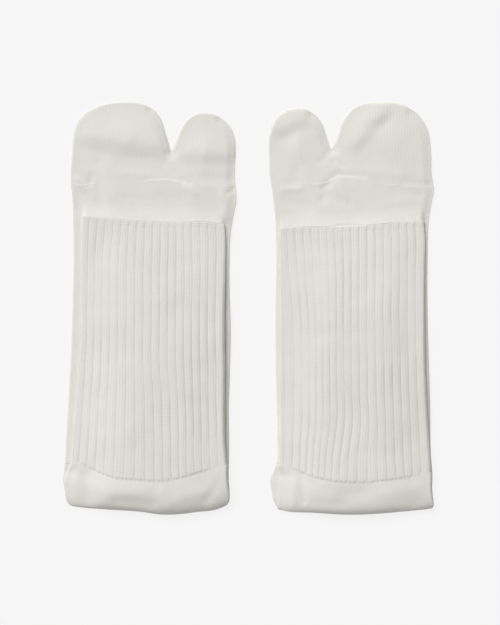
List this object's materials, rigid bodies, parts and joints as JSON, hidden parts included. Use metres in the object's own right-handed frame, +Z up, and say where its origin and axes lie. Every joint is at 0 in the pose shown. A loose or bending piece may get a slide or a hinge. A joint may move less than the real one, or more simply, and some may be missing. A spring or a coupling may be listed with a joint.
{
  "type": "pair of tabi socks",
  "caption": "Off-white split-toe crew socks laid sole down, each ribbed leg folded forward over its foot, with a rounded heel fold and an open cuff.",
  "frame": {"origin": "bottom centre of the pair's box, on the surface that the soles rest on", "axes": "+X across the pair, from the left sock to the right sock; +Y along the feet, from the heel folds to the toes; +Z up, out of the surface"},
  "size_m": [0.2161, 0.2401, 0.0119],
  "materials": {
    "plain_knit": "matte off-white cotton in plain knit",
    "rib_knit": "matte off-white cotton in deep rib knit"
  },
  "bodies": {
    "root": {"left_toe": "plain_knit", "left_foot": "plain_knit", "left_heel": "plain_knit", "left_leg": "rib_knit", "left_cuff": "rib_knit", "right_toe": "plain_knit", "right_foot": "plain_knit", "right_heel": "plain_knit", "right_leg": "rib_knit", "right_cuff": "rib_knit"}
  },
  "joints": []
}
